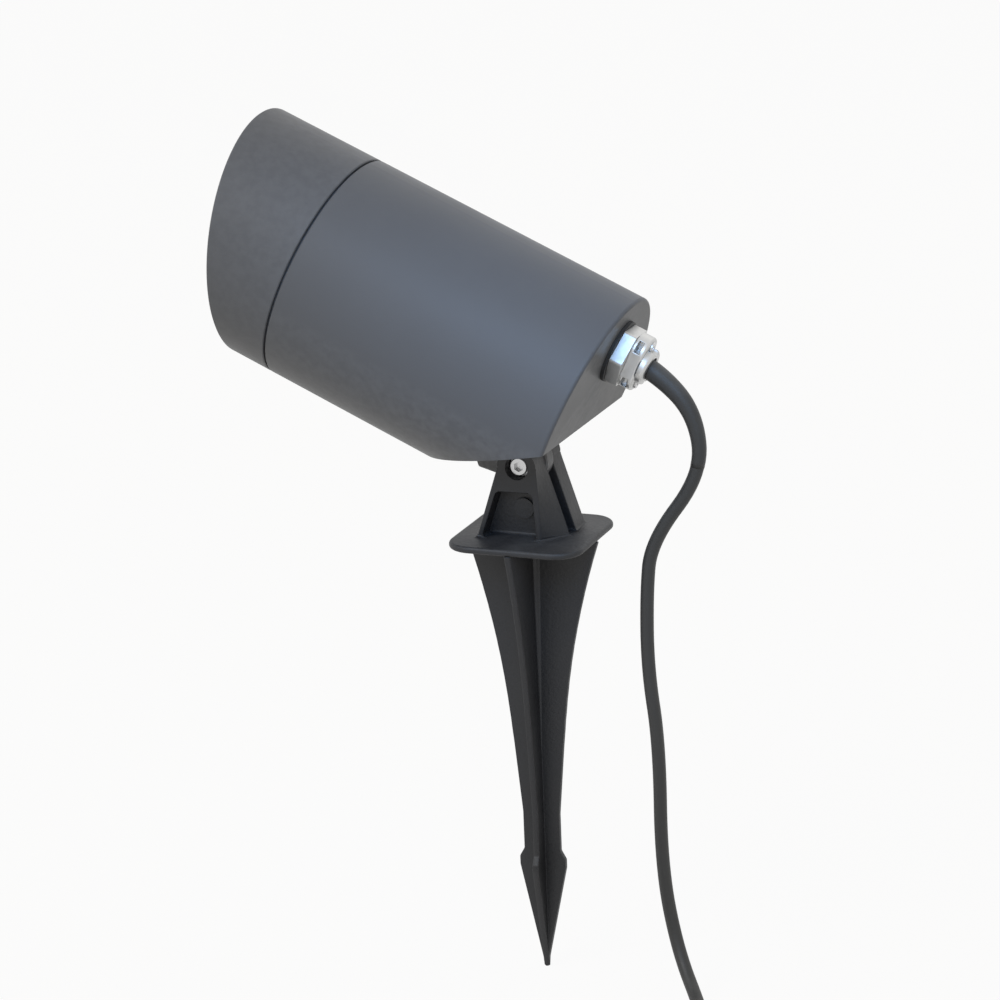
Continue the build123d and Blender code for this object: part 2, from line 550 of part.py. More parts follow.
def cord_boot(path):
    """Tapered sleeve on the cord's own path, from inside the clamp cap."""
    sections = []
    count = 7
    for index in range(count):
        share = index / (count - 1)
        place = (BOOT_START + BOOT_LENGTH * share) / path.length
        radius = BOOT_R + (BOOT_TIP_R - BOOT_R) * share
        plane = Plane(origin=path @ place, x_dir=(0, 1, 0), z_dir=path % place)
        sections.append(plane * Circle(radius))
    return loft(sections) - tube(path, CORD_R + FIT)


def tie(path, centre, outward):
    """Band round all the turns where they cross the ray from the centre."""
    along = Vector(-outward.Y, outward.X, 0)
    offsets = [path @ (index / 2000) - centre for index in range(2001)]
    crossing = [offset for offset in offsets if abs(offset.dot(along)) < TIE_WIDTH / 2]
    reaches = [offset.dot(outward) for offset in crossing if offset.dot(outward) > 0]
    inner, outer = min(reaches) - CORD_R - SEAT, max(reaches) + CORD_R + SEAT
    low = GROUND_Z + TIE_T
    height = COIL_LAYER + 2 * CORD_R + 2 * SEAT
    plane = Plane(origin=(centre.X, centre.Y, 0), x_dir=outward, z_dir=(outward.Y, -outward.X, 0))
    middle = Pos((inner + outer) / 2, low + height / 2)
    outline = middle * RectangleRounded(outer - inner + 2 * TIE_T, height + 2 * TIE_T, TIE_CORNER_R)
    outline = outline - middle * RectangleRounded(outer - inner, height, TIE_CORNER_R - TIE_T)
    return extrude(plane * outline, TIE_WIDTH / 2, both=True)


def plug(end, heading):
    """Two-pin plug lying on the ground past the coil's end."""
    side = Vector(-heading.Y, heading.X, 0)
    relief_end = end + heading * PLUG_RELIEF
    face = relief_end + heading * PLUG_LENGTH
    middle_z = GROUND_Z + PLUG_MIDDLE_Z

    def upright(place, z):
        return Plane(origin=(place.X, place.Y, z), x_dir=side, z_dir=heading)

    def section(place, size, z=middle_z):
        return upright(place, z) * RectangleRounded(*size, size[1] / 2 - FIT / 10)

    neck = Plane(origin=end, x_dir=side, z_dir=heading) * Circle(CORD_R + 1.0)
    sunk = relief_end + heading * PLUG_RELIEF_SINK
    wide = upright(sunk, GROUND_Z + PLUG_RELIEF_R + SEAT) * Circle(PLUG_RELIEF_R)
    relief = loft([neck, wide], ruled=True)
    back = section(relief_end, PLUG_BACK, GROUND_Z + PLUG_BACK[1] / 2 + SEAT)
    shoulder = section(relief_end + heading * PLUG_SHOULDER_AT, PLUG_SHOULDER)
    body = loft([back, shoulder, section(face, PLUG_FACE)], ruled=True)
    pins = []
    for hand in (-PIN_HALF_PITCH, PIN_HALF_PITCH):
        pin = upright(face + side * hand, middle_z).location * rod(PIN_R, 0, PIN_L)
        tip = pin.edges().sort_by(lambda edge: edge.center().dot(heading))[-1]
        pins.append(fillet(tip, PIN_TIP_R))
    return relief + body, pins


# ---- assembly ------------------------------------------------------------
keep("spike_bracket", spike_bracket())
keep("pivot_screw", pivot_screw())
PIVOT_NUT = hexagon(PIVOT_NUT_AF, 0, PIVOT_NUT_T) - rod(PIVOT_SCREW_R, -RAISE, PIVOT_NUT_T + RAISE)
keep("pivot_nut", Pos(0, NUT_Y, PIVOT_Z) * Rot(-90, 0, 0) * PIVOT_NUT)
PIVOT_WASHER = ring(PIVOT_WASHER_R, PIVOT_SCREW_R + FIT, 0, PIVOT_WASHER_T)
keep("pivot_washer", Pos(0, RECESS_Y, PIVOT_Z) * Rot(90, 0, 0) * PIVOT_WASHER)

keep("housing", housing(), True)
keep("tilt_lug", tilt_lug(), True)
for index, point in enumerate(LUG_SCREWS):
    keep(f"lug_screw_{index + 1}", lug_screw(point), True)
keep("front_hood", front_hood(), True)
GASKET = ring(SPIGOT_R + FIT / 2, SPIGOT_R - GASKET_T, GASKET_S + FIT, GASKET_S + FIT + GASKET_W)
keep("hood_gasket", GASKET, True)
keep("hood_lock_screw", lock_pin(LOCK_R, SPIGOT_R - SPIGOT_STEP, HEAD_R - SEAT), True)
keep("glass_gasket", ring(GLASS_R, GLASS_R - WALL, SPIGOT_S, GLASS_S[0]), True)
GLASS = rod(GLASS_R, *GLASS_S)
keep("front_glass", chamfer(GLASS.edges().filter_by(GeomType.CIRCLE), EDGE_BREAK), True)
keep("reflector", reflector(), True)
keep("led_board", led_board(), True)
EMITTER_S = SPREADER_FRONT + BOARD_T
keep("led_emitter", rod(EMITTER_R, EMITTER_S, EMITTER_S + EMITTER_T), True)
keep("led_holder", led_holder(), True)
keep("heat_spreader", heat_spreader(), True)
for index, side in enumerate((-HOLDER_SCREW_Y, HOLDER_SCREW_Y)):
    screw = Pos(0, side, SPREADER_FRONT + HOLDER_SCREW_SEAT) * cap_screw(SMALL_SCREW_R, 5.0, 2.6, 1.8, 1.6)
    keep(f"holder_screw_{index + 1}", screw, True)
for index, angle in enumerate(POST_ANGLES):
    screw = Pos(POST_AT, 0, SPREADER_FRONT) * cap_screw(POST_SCREW_R, POST_SCREW_L, 2.7, 2.6, 2.5)
    keep(f"spreader_screw_{index + 1}", Rot(0, 0, angle) * screw, True)
keep("driver_bracket", driver_bracket(), True)
for index, side in enumerate((-PLATE_SCREW_Y, PLATE_SCREW_Y)):
    screw = Rot(180, 0, 0) * cap_screw(SMALL_SCREW_R, 4.0, 2.4, 1.6, 1.6)
    keep(f"bracket_screw_{index + 1}", Pos(PLATE_SCREW_AT, side, SPREADER_BACK - PLATE_T) * screw, True)
keep("led_driver", led_driver(), True)
keep("terminal_block", terminal_block(), True)
keep("gland_washer", ring(GLAND_WASHER_R, GLAND_THREAD_R, GLAND_BACK, 0, GLAND_H), True)
keep("gland_body", gland_body(), True)
LOCKNUT = hexagon(GLAND_AF, WALL, WALL + LOCKNUT_T, GLAND_H)
keep("gland_locknut", LOCKNUT - rod(GLAND_THREAD_R, 0, 3 * LOCKNUT_T, GLAND_H), True)
keep("gland_seal", ring(SEAL_R, SEAL_BORE_R, HEX_S, HEX_S + SEAL_L, GLAND_H), True)
keep("gland_cap", gland_cap(), True)
for index, side in enumerate((-1, 1)):
    keep(f"clamp_screw_{index + 1}", clamp_screw(side), True)

POINTS = cord_points()
RADII = corner_radii(POINTS)
LEAD_PATH = FilletPolyline(*POINTS, radius=RADII)
LEAD = tube(LEAD_PATH, CORD_R)
keep("cord_lead", LEAD)
keep("cord_boot", cord_boot(LEAD_PATH))
HEADING = (POINTS[-1] - POINTS[-2]).normalized()
COIL_EDGES, COIL_CENTRE, COIL_END, COIL_HEADING = coil_edges(POINTS[-1], HEADING)
COIL_PATH = Wire(COIL_EDGES)
COIL = tube(COIL_PATH, CORD_R)
keep("cord_coil", COIL)
keep("cord_tie", tie(COIL_PATH, COIL_CENTRE, Vector(HEADING.Y, -HEADING.X, 0)))
PLUG_BODY, PINS = plug(COIL_END, COIL_HEADING)
keep("plug_body", PLUG_BODY)
for index, pin in enumerate(PINS):
    keep(f"plug_pin_{index + 1}", pin)


def least_gap(path, radius, step=1.5):
    """Smallest gap of a tube to itself, between points over a half turn apart."""
    count = int(path.length / step)
    points = [path @ (index / count) for index in range(count + 1)]
    apart = int(pi * COIL_IN_R * 0.9 / step)
    least = path.length
    for index, point in enumerate(points):
        for other in points[index + apart:]:
            gap = hypot(point.X - other.X, point.Y - other.Y, point.Z - other.Z)
            least = min(least, gap)
    return least - 2 * radius


print("lead radii", [round(radius, 1) for radius in RADII])
print("lead length", round(LEAD_PATH.length, 1), "coil length", round(COIL_PATH.length, 1))
for title, solid, path in (("lead", LEAD, LEAD_PATH), ("coil", COIL, COIL_PATH)):
    print(title, "volume / (section x length)", round(solid.volume / (pi * CORD_R ** 2 * path.length), 4))
print("coil's least gap to itself", round(least_gap(COIL_PATH, CORD_R), 2))

for name, shape in NODES.items():
    export_step(shape, f"parts/{name}.step")
print(len(NODES), "nodes")
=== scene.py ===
from math import cos, pi, radians, sin

import bmesh
import bpy
from bpy.props import FloatProperty, FloatVectorProperty, PointerProperty
from mathutils import Euler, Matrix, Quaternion, Vector


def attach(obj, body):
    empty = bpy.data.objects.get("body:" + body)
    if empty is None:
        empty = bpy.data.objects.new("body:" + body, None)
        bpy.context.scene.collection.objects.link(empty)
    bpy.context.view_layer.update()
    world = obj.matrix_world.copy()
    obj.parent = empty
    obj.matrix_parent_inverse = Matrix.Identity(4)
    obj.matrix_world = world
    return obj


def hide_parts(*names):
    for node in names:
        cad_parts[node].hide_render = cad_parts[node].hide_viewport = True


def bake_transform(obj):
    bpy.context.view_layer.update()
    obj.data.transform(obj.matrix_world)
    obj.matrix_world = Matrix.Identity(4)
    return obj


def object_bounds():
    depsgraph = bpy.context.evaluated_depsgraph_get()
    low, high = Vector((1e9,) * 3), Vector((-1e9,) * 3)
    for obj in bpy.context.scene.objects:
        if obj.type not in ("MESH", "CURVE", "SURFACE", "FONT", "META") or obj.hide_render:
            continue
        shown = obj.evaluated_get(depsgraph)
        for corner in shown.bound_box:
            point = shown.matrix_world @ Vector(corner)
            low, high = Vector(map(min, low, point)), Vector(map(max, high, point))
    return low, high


bl_info = {
    "name": "Garden Spike Spotlight",
    "version": (1, 0, 0),
    "blender": (4, 5, 0),
    "location": "3D View > Sidebar > Spotlight",
    "description": "Dresses the packed model of a tilting garden spotlight on a ground spike",
    "category": "Object",
}

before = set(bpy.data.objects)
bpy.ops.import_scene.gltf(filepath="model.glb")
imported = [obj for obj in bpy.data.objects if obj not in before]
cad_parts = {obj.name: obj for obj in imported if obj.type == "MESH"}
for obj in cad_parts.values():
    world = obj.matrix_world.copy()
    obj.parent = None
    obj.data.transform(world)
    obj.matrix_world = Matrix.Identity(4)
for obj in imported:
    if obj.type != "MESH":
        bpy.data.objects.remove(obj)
CAD_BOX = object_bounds()

# Camera of the photograph, fitted to the outlines of the CAD model. Angles in degrees.
CAMERA_PLACE = (0.4754, -1.2116, 0.4017)
CAMERA_DROP, CAMERA_AROUND, CAMERA_ROLL = 16.45, 22.01, -2.27

# Tilted axes of the head, and the gland's place on its rear wall, in metres.
TILT = radians(24.9)
REAR_CENTRE = Vector((0.0299, 0.0, 0.0608))
HEAD_UP = Vector((sin(TILT), 0.0, cos(TILT)))
HEAD_BACK = Vector((cos(TILT), 0.0, -sin(TILT)))
GLAND_UP = 0.0284
GLAND_BACK = 0.0076

# Control points of the cord after the gland: free stretch, landing, run to the coil.
FIRST_RUN = 0.0125
ROUTE = [
    (0.0766, 0.0, 0.0611), (0.0794, 0.0, 0.0345), (0.0553, 0.0, 0.0021),
    (0.0529, -0.0005, -0.0211), (0.0528, -0.0015, -0.0559), (0.0579, -0.003, -0.0904),
    (0.0579, -0.0045, -0.1475), (0.0652, -0.0065, -0.1861), (0.0837, -0.0294, -0.2042),
    (0.0925, -0.0540, -0.1983), (0.0910, -0.0790, -0.1948), (0.0875, -0.1040, -0.1948),
]

# The put-away coil: half turns wound in on the upper layer, out on the lower one.
COIL_ENTRY = 0.006
COIL_IN_R = 0.025
COIL_PITCH = 0.008
COIL_LAYER = 0.0065
COIL_HALVES = (5, 4)
TAIL_R = 0.047
TAIL_TURN = radians(97)
TAIL_LENGTH = 0.012
POINTS_PER_TURN = 16

# Round sections of lead and bend protector, and where the protector starts on the route.
LEAD_SIDES, BOOT_SIDES = 20, 28
BOOT_START = 0.0016
CURVE_STEPS = 10

# Softened edges of the CAD's copies, in metres. Heights count from the flange's lower face.
SHARP_ANGLE, SMOOTH_ANGLE = radians(28), radians(40)
WELD_GAP = 0.000001
MOULDED_ROUND, FOOT_ROUND = 0.0005, 0.0014
GLAND_ROUND, CAP_ROUND, SCREW_ROUND = 0.0003, 0.00025, 0.0001
FLANGE_TOP = 0.003
FLANGE_TOP_GAP = 0.0001
BELOW_FEET, ABOVE_FEET = 0.0028, 0.004
SHORTEST_EAR_EDGE = 0.008

# Length of the clamp lugs as a share of the CAD's.
LUG_SHARE = 0.84

# Sockets of the Mix node that carry its colours.
MIX_FIRST, MIX_SECOND, MIX_RESULT = 6, 7, 2

# Scales and tones that all grained finishes share.
MOTTLE_SCALE = 16.0
# Edge mask, partly rubbed wear and partly a painted edge highlight: its width, breakup scale and
# how much it lightens the colour.
EDGE_WEAR_HIGHLIGHT_WIDTH, EDGE_WEAR_HIGHLIGHT_SCALE, EDGE_WEAR_HIGHLIGHT_GAIN = 0.54, 260.0, 2.2
DUST_SCALE, DUST_COLOUR = 34.0, (0.34, 0.33, 0.31)

# Stage: half width of the floor, its own light where it's seen, and the world's fill light.
FLOOR_HALF = 6.0
FLOOR_GLOW = 0.94
FILL_COLOUR, FILL_STRENGTH = (1.0, 0.95, 0.87), 0.42


class SpotlightSizes(bpy.types.PropertyGroup):
    """Sizes that the CAD model leaves open."""

    cord_diameter: FloatProperty(
        name="Cord Diameter", description="Outside diameter of the round rubber lead",
        default=0.006, min=0.004, max=0.009, unit="LENGTH",
    )
    boot_diameter: FloatProperty(
        name="Boot Diameter", description="Bend protector's diameter at the gland",
        default=0.0092, min=0.007, max=0.012, unit="LENGTH",
    )
    boot_tip_diameter: FloatProperty(
        name="Boot Tip Diameter", description="Bend protector's diameter at its thin end",
        default=0.0062, min=0.0060, max=0.009, unit="LENGTH",
    )
    boot_length: FloatProperty(
        name="Boot Length", description="Length of the bend protector along the lead",
        default=0.058, min=0.02, max=0.06, unit="LENGTH",
    )
    lens: FloatProperty(
        name="Lens", description="Focal length of the camera on a 36 mm sensor",
        default=111.54, min=20, max=300, subtype="DISTANCE_CAMERA",
    )


class SpotlightColours(bpy.types.PropertyGroup):
    """Colours of the visible finishes."""

    coat: FloatVectorProperty(
        name="Powder Coat", description="Anthracite coat of housing, hood and lug",
        default=(0.131, 0.134, 0.141), subtype="COLOR", min=0, max=1,
    )
    moulding: FloatVectorProperty(
        name="Moulding", description="Black plastic of spike, flange and ears",
        default=(0.018, 0.018, 0.0195), subtype="COLOR", min=0, max=1,
    )
    rubber: FloatVectorProperty(
        name="Lead Rubber", description="Rubber of lead and bend protector",
        default=(0.034, 0.034, 0.033), subtype="COLOR", min=0, max=1,
    )
    nickel: FloatVectorProperty(
        name="Nickel", description="Plate on the cable gland",
        default=(0.60, 0.60, 0.59), subtype="COLOR", min=0, max=1,
    )
    steel: FloatVectorProperty(
        name="Steel", description="Stainless steel of the screws",
        default=(0.58, 0.58, 0.58), subtype="COLOR", min=0, max=1,
    )
    backdrop: FloatVectorProperty(
        name="Backdrop", description="Floor and backdrop",
        default=(0.62, 0.60, 0.56), subtype="COLOR", min=0, max=1,
    )


# ---- shader building -----------------------------------------------------
def set_inputs(node, values):
    for name, value in values.items():
        node.inputs[name].default_value = value


def add_node(tree, kind, inputs=None, **settings):
    node = tree.nodes.new("ShaderNode" + kind)
    for name, value in settings.items():
        setattr(node, name, value)
    set_inputs(node, inputs or {})
    return node


def new_group(name, inputs, outputs):
    """Empty node group with value sockets; inputs gives the default of each by name."""
    tree = bpy.data.node_groups.new(name, "ShaderNodeTree")
    for label, default in inputs.items():
        socket = tree.interface.new_socket(label, in_out="INPUT", socket_type="NodeSocketFloat")
        socket.default_value = default
    for label in outputs:
        tree.interface.new_socket(label, in_out="OUTPUT", socket_type="NodeSocketFloat")
    return tree, tree.nodes.new("NodeGroupInput"), tree.nodes.new("NodeGroupOutput")


def noise(tree, source, scale, detail=3.0, roughness=0.55):
    node = add_node(tree, "TexNoise", {"Detail": detail, "Roughness": roughness})
    tree.links.new(source, node.inputs["Vector"])
    if isinstance(scale, (int, float)):
        node.inputs["Scale"].default_value = scale
    else:
        tree.links.new(scale, node.inputs["Scale"])
    return node.outputs["Fac"]


def maths(tree, operation, first, second):
    node = add_node(tree, "Math", operation=operation)
    for index, value in enumerate((first, second)):
        if isinstance(value, (int, float)):
            node.inputs[index].default_value = value
        else:
            tree.links.new(value, node.inputs[index])
    return node.outputs[0]


def remap(tree, value, low, high, to_low=0.0, to_high=1.0):
    limits = {"From Min": low, "From Max": high, "To Min": to_low, "To Max": to_high}
    node = add_node(tree, "MapRange", limits)
    tree.links.new(value, node.inputs["Value"])
    return node.outputs["Result"]


def mix_colour(tree, factor, first, second):
    node = add_node(tree, "Mix", data_type="RGBA")
    tree.links.new(factor, node.inputs["Factor"])
    for index, value in ((MIX_FIRST, first), (MIX_SECOND, second)):
        if hasattr(value, "is_output"):
            tree.links.new(value, node.inputs[index])
        else:
            node.inputs[index].default_value = (*value[:3], 1.0)
    return node.outputs[MIX_RESULT]


def grain_group():
    """Pebbled skin: height for a bump, and a slow mottle for colour and gloss."""
    tree, inside, outside = new_group(
        "Pebble Grain", {"Fine Scale": 900.0, "Slow Scale": 14.0}, ["Height", "Mottle"],
    )
    place = add_node(tree, "TexCoord").outputs["Object"]
    cells = add_node(tree, "TexVoronoi", {"Smoothness": 0.8}, feature="SMOOTH_F1")
    tree.links.new(place, cells.inputs["Vector"])
    tree.links.new(inside.outputs["Fine Scale"], cells.inputs["Scale"])
    rough = noise(tree, place, maths(tree, "MULTIPLY", inside.outputs["Fine Scale"], 0.6))
    height = maths(tree, "ADD", maths(tree, "MULTIPLY", cells.outputs["Distance"], -0.6), rough)
    tree.links.new(height, outside.inputs["Height"])
    slow = noise(tree, place, inside.outputs["Slow Scale"], 5.0, 0.6)
    tree.links.new(remap(tree, slow, 0.3, 0.7), outside.inputs["Mottle"])
    return tree


def edge_wear_and_highlight_group():
    """Mask of the outer edges, broken up by noise: partly rubbed wear, partly a painted edge
    highlight.
    """
    tree, inside, outside = new_group(
        "Edge Rub and Painted Highlight", {"Width": 0.54, "Breakup Scale": 220.0}, ["Mask"],
    )
    place = add_node(tree, "TexCoord").outputs["Object"]
    point = add_node(tree, "NewGeometry").outputs["Pointiness"]
    edge = add_node(tree, "MapRange", {"From Max": 0.62})
    tree.links.new(point, edge.inputs["Value"])
    tree.links.new(inside.outputs["Width"], edge.inputs["From Min"])
    breakup = remap(tree, noise(tree, place, inside.outputs["Breakup Scale"]), 0.35, 0.65)
    tree.links.new(maths(tree, "MULTIPLY", edge.outputs["Result"], breakup), outside.inputs["Mask"])
    return tree


def dust_group():
    """Mask of settled dust: upward faces, in soft patches."""
    tree, inside, outside = new_group(
        "Settled Dust", {"Amount": 0.5, "Patch Scale": 30.0}, ["Mask"],
    )
    place = add_node(tree, "TexCoord").outputs["Object"]
    split = add_node(tree, "SeparateXYZ")
    tree.links.new(add_node(tree, "NewGeometry").outputs["Normal"], split.inputs["Vector"])
    upward = remap(tree, split.outputs["Z"], 0.0, 1.0)
    patches = remap(tree, noise(tree, place, inside.outputs["Patch Scale"], 6.0, 0.65), 0.42, 0.72)
    settled = maths(tree, "MULTIPLY", upward, patches)
    mask = maths(tree, "MULTIPLY", settled, inside.outputs["Amount"])
    tree.links.new(mask, outside.inputs["Mask"])
    return tree


GROUPS = {"Pebble Grain": grain_group, "Edge Rub and Painted Highlight": edge_wear_and_highlight_group, "Settled Dust": dust_group}


def use_group(tree, name, inputs):
    """Node of a shared group, which is made on first use."""
    node = tree.nodes.new("ShaderNodeGroup")
    node.node_tree = bpy.data.node_groups.get(name) or GROUPS[name]()
    set_inputs(node, inputs)
    return node


def new_material(name, **inputs):
    """Material with a Principled shader, its plain inputs set by name."""
    material = bpy.data.materials.new(name)
    material.use_nodes = True
    shader = material.node_tree.nodes["Principled BSDF"]
    set_inputs(shader, {key.replace("_", " "): value for key, value in inputs.items()})
    return material, material.node_tree, shader


def add_bump(tree, shader, height, distance):
    bump = add_node(tree, "Bump", {"Distance": distance, "Strength": 1.0})
    tree.links.new(height, bump.inputs["Height"])
    tree.links.new(bump.outputs["Normal"], shader.inputs["Normal"])


def shade(colour, factor):
    return tuple(min(1.0, part * factor) for part in colour)


def grained(name, colour, roughness, grain, bump, dust=0.3, spread=0.12, edge_wear_and_highlight=0.25, **inputs):
    """Grained, slightly dusty finish with lighter edges that are partly rubbed wear and partly a
    painted highlight; roughness gives its lowest and highest value.
    """
    material, tree, shader = new_material(name, **inputs)
    skin = use_group(tree, "Pebble Grain", {"Fine Scale": grain, "Slow Scale": MOTTLE_SCALE})
    mottle = skin.outputs["Mottle"]
    tone = mix_colour(tree, mottle, shade(colour, 1 - spread), shade(colour, 1 + spread))
    # Convex edges are painted lighter: partly rubbed wear, partly a painted highlight on the edges.
    edge_wear_and_highlight_node = use_group(tree, "Edge Rub and Painted Highlight", {"Width": EDGE_WEAR_HIGHLIGHT_WIDTH, "Breakup Scale": EDGE_WEAR_HIGHLIGHT_SCALE})
    edge_wear_and_highlight_share = maths(tree, "MULTIPLY", edge_wear_and_highlight_node.outputs["Mask"], edge_wear_and_highlight)
    tone = mix_colour(tree, edge_wear_and_highlight_share, tone, shade(colour, EDGE_WEAR_HIGHLIGHT_GAIN))
    dusty = use_group(tree, "Settled Dust", {"Amount": dust, "Patch Scale": DUST_SCALE})
    tone = mix_colour(tree, dusty.outputs["Mask"], tone, DUST_COLOUR)
    tree.links.new(tone, shader.inputs["Base Color"])
    tree.links.new(remap(tree, mottle, 0, 1, *roughness), shader.inputs["Roughness"])
    add_bump(tree, shader, skin.outputs["Height"], bump)
    return material


def metal(name, colour, roughness, scale, bump):
    """Metal with fine handling marks in its gloss."""
    material, tree, shader = new_material(name, Metallic=1.0)
    place = add_node(tree, "TexCoord").outputs["Object"]
    marks = noise(tree, place, scale, 6.0, 0.7)
    slow = noise(tree, place, scale * 0.1, 2.0)
    tone = mix_colour(tree, slow, shade(colour, 0.86), shade(colour, 1.08))
    tree.links.new(tone, shader.inputs["Base Color"])
    tree.links.new(remap(tree, marks, 0.3, 0.7, *roughness), shader.inputs["Roughness"])
    add_bump(tree, shader, marks, bump)
    return material


def finish(nodes, material):
    """Give CAD nodes their finish in place of the plain one."""
    for name in nodes:
        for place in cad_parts[name].material_slots:
            place.material = material


def matching(prefix):
    return [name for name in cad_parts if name.startswith(prefix)]


def linked(name, data):
    """New object of the scene with that data."""
    thing = bpy.data.objects.new(name, data)
    bpy.context.scene.collection.objects.link(thing)
    return thing


def is_sharp(edge):
    return edge.is_manifold and edge.calc_face_angle(0.0) > SHARP_ANGLE


def round_edges(work, edges, width, segments=2):
    bmesh.ops.bevel(
        work, geom=edges, offset=width, offset_type="OFFSET", segments=segments, profile=0.5,
        affect="EDGES", clamp_overlap=False,
    )


def sort_faces(work):
    """Fixed order of the faces, which two bevels in a row leave different on each run."""
    work.verts.index_update()
    ordered = sorted(work.faces, key=lambda face: sorted(vertex.index for vertex in face.verts))
    for index, face in enumerate(ordered):
        face.index = index
    work.faces.sort()


def softened(name, node, body, material, width, shape=None, chosen=is_sharp):
    """Moulded or cast copy of a CAD node: shape changes it, then its chosen edges are rounded."""
    work = bmesh.new()
    work.from_mesh(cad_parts[node].data)
    bmesh.ops.remove_doubles(work, verts=work.verts, dist=WELD_GAP)
    if shape:
        shape(work)
    round_edges(work, [edge for edge in work.edges if chosen(edge)], width)
    sort_faces(work)
    mesh = bpy.data.meshes.new(name)
    work.to_mesh(mesh)
    work.free()
    if "custom_normal" in mesh.attributes:
        mesh.attributes.remove(mesh.attributes["custom_normal"])
    mesh.shade_smooth()
    mesh.set_sharp_from_angle(angle=SMOOTH_ANGLE)
    mesh.materials.append(material)
    piece = linked(name, mesh)
    flats = piece.modifiers.new("flats", "WEIGHTED_NORMAL")
    flats.keep_sharp = True
    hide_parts(node)
    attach(piece, body)


# ---- cord geometry -------------------------------------------------------
def coil_points(entry, heading):
    """Control points of the turns in, the step down, the turns out and the tail to the plug."""
    points = []
    here = entry + heading * COIL_ENTRY
    inward = Vector((heading.y, -heading.x, 0.0))
    step = COIL_PITCH / 2
    radius = COIL_IN_R + step * COIL_HALVES[0]
    winding_in, winding_out = [(-step, 0.0)] * COIL_HALVES[0], [(step, 0.0)] * COIL_HALVES[1]
    half = POINTS_PER_TURN // 2
    # The quadratic curve runs inside its control points, so they stand this much further out.
    widen = 8 / (6 + 2 * cos(2 * pi / POINTS_PER_TURN))
    for grow, climb in winding_in + [(0.0, -COIL_LAYER)] + winding_out:
        reach = radius + grow / 2
        centre = here + inward * reach
        for index in range(half):
            angle = pi * (index + 0.5) / half
            share = (index + 0.5) / half
            offset = inward * -cos(angle) + heading * sin(angle)
            points.append(centre + offset * reach * widen + Vector((0, 0, climb * share)))
        here = centre + inward * reach + Vector((0, 0, climb))
        heading, inward, radius = heading * -1, inward * -1, radius + grow
    centre = here + inward * TAIL_R
    count = round(TAIL_TURN / (pi / half))
    for index in range(count):
        angle = TAIL_TURN * (index + 0.5) / count
        offset = inward * -cos(angle) + heading * sin(angle)
        points.append(centre + offset * TAIL_R * widen)
    leaving = heading * cos(TAIL_TURN) + inward * sin(TAIL_TURN)
    bend_end = centre + (inward * -cos(TAIL_TURN) + heading * sin(TAIL_TURN)) * TAIL_R
    return points + [bend_end + leaving * TAIL_LENGTH]


def route_points():
    gland = REAR_CENTRE + HEAD_UP * GLAND_UP + HEAD_BACK * GLAND_BACK
    return [gland, gland + HEAD_BACK * FIRST_RUN] + [Vector(point) for point in ROUTE]


def route_curve(name, points):
    """NURBS curve with the route's points as its control points."""
    data = bpy.data.curves.new(name, "CURVE")
    data.dimensions = "3D"
    data.resolution_u = CURVE_STEPS
    spline = data.splines.new("NURBS")
    spline.points.add(len(points) - 1)
    for point, place in zip(spline.points, points):
        point.co = (*place, 1.0)
    spline.order_u = 3
    spline.use_endpoint_u = True
    return linked(name, data)


def line_points(curve):
    """Points along the curve's own smooth line."""
    curve.data.bevel_depth = 0.0
    mesh = bpy.data.meshes.new_from_object(curve)
    points = [vertex.co.copy() for vertex in mesh.vertices]
    bpy.data.meshes.remove(mesh)
    return points


def tube(name, points, radius_at, sides):
    """Closed tube of rings along points; radius_at takes the distance run so far."""
    vertices, faces = [], []
    side = None
    run = 0.0
    for index, point in enumerate(points):
        before = points[max(index - 1, 0)]
        after = points[min(index + 1, len(points) - 1)]
        along = (after - before).normalized()
        side = side if side else along.orthogonal().normalized()
        side = (side - along * side.dot(along)).normalized()
        other = along.cross(side)
        run += (point - before).length if index else 0.0
        radius = radius_at(run)
        for step in range(sides):
            angle = 2 * pi * step / sides
            vertices.append(point + (side * cos(angle) + other * sin(angle)) * radius)
    for ring in range(len(points) - 1):
        for step in range(sides):
            low, high = ring * sides + step, ring * sides + (step + 1) % sides
            faces.append((low, high, high + sides, low + sides))
    faces.append(tuple(reversed(range(sides))))
    faces.append(tuple(range(len(vertices) - sides, len(vertices))))
    mesh = bpy.data.meshes.new(name)
    mesh.from_pydata([tuple(vertex) for vertex in vertices], [], faces)
    mesh.shade_smooth()
    return linked(name, mesh)


def points_between(points, start, end):
    """The stretch of a line between two distances from its beginning."""
    kept, run = [], 0.0
    for before, after in zip(points, points[1:]):
        if start <= run <= end:
            kept.append(before)
        run += (after - before).length
    return kept


# ---- operators -----------------------------------------------------------
class SPOTLIGHT_OT_camera(bpy.types.Operator):
    """Place the camera at the photograph's viewing angle"""

    bl_idname = "spotlight.camera"
    bl_label = "Set Camera"

    def execute(self, context):
        data = bpy.data.cameras.new("view")
        data.lens = context.scene.spotlight_sizes.lens
        data.sensor_width = 36.0
        data.clip_end = 20.0
        camera = linked("view", data)
        camera.location = CAMERA_PLACE
        level = Euler((radians(90 - CAMERA_DROP), 0.0, radians(CAMERA_AROUND))).to_quaternion()
        camera.rotation_mode = "QUATERNION"
        camera.rotation_quaternion = level @ Quaternion((0, 0, 1), radians(CAMERA_ROLL))
        context.scene.camera = camera
        return {"FINISHED"}


